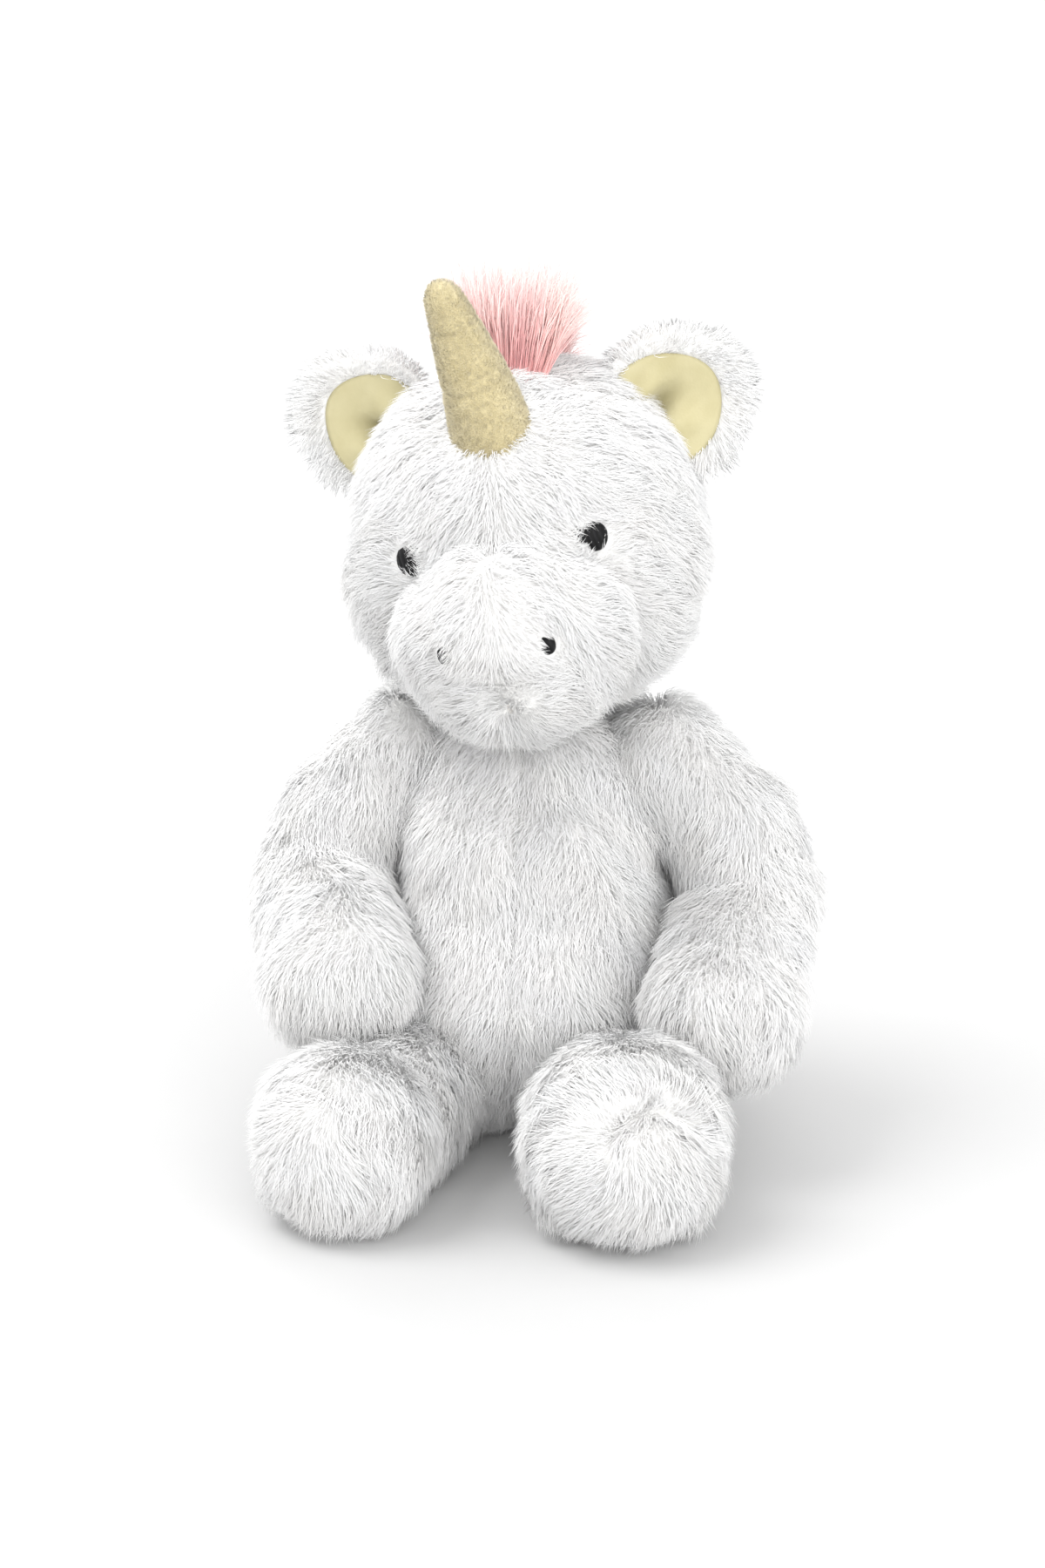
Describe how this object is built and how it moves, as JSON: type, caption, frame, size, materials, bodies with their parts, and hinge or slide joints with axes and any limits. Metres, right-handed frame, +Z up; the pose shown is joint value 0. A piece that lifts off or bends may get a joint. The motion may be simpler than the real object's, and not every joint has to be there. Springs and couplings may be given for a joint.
{
  "type": "plush unicorn",
  "caption": "Seated plush unicorn with long white pile, floppy arms and legs, a soft gold horn, satin-lined round ears and a pink mane and tail.",
  "frame": {"origin": "middle of the flat patch that the toy sits on, on the floor", "axes": "+Z up; the toy faces -Y, so its own left side is +X"},
  "size_m": [0.1454, 0.1835, 0.2377],
  "materials": {
    "white_plush": "long soft pile",
    "sole_plush": "long soft pile",
    "ear_satin": "soft sheen",
    "horn_velour": "short velour",
    "pink_pile": "long pile",
    "pink_backing": "knitted",
    "black_thread": "satin stitch",
    "white_thread": "thread",
    "polyester_fill": "loose fibre",
    "lining_cotton": "plain weave",
    "pellets": "small beads",
    "label_ribbon": "woven ribbon"
  },
  "bodies": {
    "torso": {"belly_panel_left": "white_plush", "belly_panel_right": "white_plush", "back_panel_left": "white_plush", "back_panel_right": "white_plush", "torso_stuffing": "polyester_fill", "seat_pellet_pouch": "lining_cotton", "seat_pellets": "pellets", "back_closing_thread": "white_thread", "care_label": "label_ribbon"},
    "neck": {"neck_stuffing": "polyester_fill"},
    "head": {"head_side_left": "white_plush", "head_side_right": "white_plush", "forehead_gusset": "white_plush", "chin_panel": "white_plush", "head_stuffing": "polyester_fill", "horn_cover": "horn_velour", "horn_stuffing": "polyester_fill", "eye_left": "black_thread", "eye_right": "black_thread", "nostril_left": "black_thread", "nostril_right": "black_thread", "mouth_stitch": "white_thread", "mane_backing": "pink_backing", "mane_pile": "pink_pile"},
    "tail": {"tail_tab": "pink_backing", "tail_pile": "pink_pile"},
    "ear_left": {"ear_back_left": "white_plush", "ear_lining_left": "ear_satin"},
    "arm_left": {"arm_outer_panel_left": "white_plush", "arm_inner_panel_left": "white_plush", "arm_stuffing_left": "polyester_fill"},
    "leg_left": {"leg_top_panel_left": "white_plush", "leg_under_panel_left": "white_plush", "foot_sole_left": "sole_plush", "leg_stuffing_left": "polyester_fill"},
    "ear_right": {"ear_back_right": "white_plush", "ear_lining_right": "ear_satin"},
    "arm_right": {"arm_outer_panel_right": "white_plush", "arm_inner_panel_right": "white_plush", "arm_stuffing_right": "polyester_fill"},
    "leg_right": {"leg_top_panel_right": "white_plush", "leg_under_panel_right": "white_plush", "foot_sole_right": "sole_plush", "leg_stuffing_right": "polyester_fill"}
  },
  "joints": [
    {"name": "neck_turn", "type": "hinge", "parent": "torso", "child": "neck", "pos_m": [0, 0, 0.12], "axis": [0, 0, 1], "range_deg": [-45, 45]},
    {"name": "head_nod", "type": "hinge", "parent": "neck", "child": "head", "pos_m": [0, 0, 0.12], "axis": [1, 0, 0], "range_deg": [-15, 15]},
    {"name": "ear_fold_left", "type": "hinge", "parent": "head", "child": "ear_left", "pos_m": [0.03208, -0.0022, 0.19188], "axis": [-0.6508, -0.0879, 0.7541], "range_deg": [-25, 25]},
    {"name": "arm_lift_left", "type": "hinge", "parent": "torso", "child": "arm_left", "pos_m": [0.0355, 0, 0.1], "axis": [-1, 0, 0], "range_deg": [0, 60]},
    {"name": "leg_drop_left", "type": "hinge", "parent": "torso", "child": "leg_left", "pos_m": [0.025, -0.032, 0.018], "axis": [1, 0, 0], "range_deg": [0, 85]},
    {"name": "ear_fold_right", "type": "hinge", "parent": "head", "child": "ear_right", "pos_m": [-0.03877, -0.00049, 0.18511], "axis": [0.4905, -0.1222, 0.8628], "range_deg": [-25, 25]},
    {"name": "arm_lift_right", "type": "hinge", "parent": "torso", "child": "arm_right", "pos_m": [-0.0355, 0, 0.1], "axis": [-1, 0, 0], "range_deg": [0, 60]},
    {"name": "leg_drop_right", "type": "hinge", "parent": "torso", "child": "leg_right", "pos_m": [-0.025, -0.032, 0.018], "axis": [1, 0, 0], "range_deg": [0, 85]},
    {"name": "tail_lift", "type": "hinge", "parent": "torso", "child": "tail", "pos_m": [0, 0.0445, 0.034], "axis": [1, 0, 0], "range_deg": [0, 70]}
  ]
}
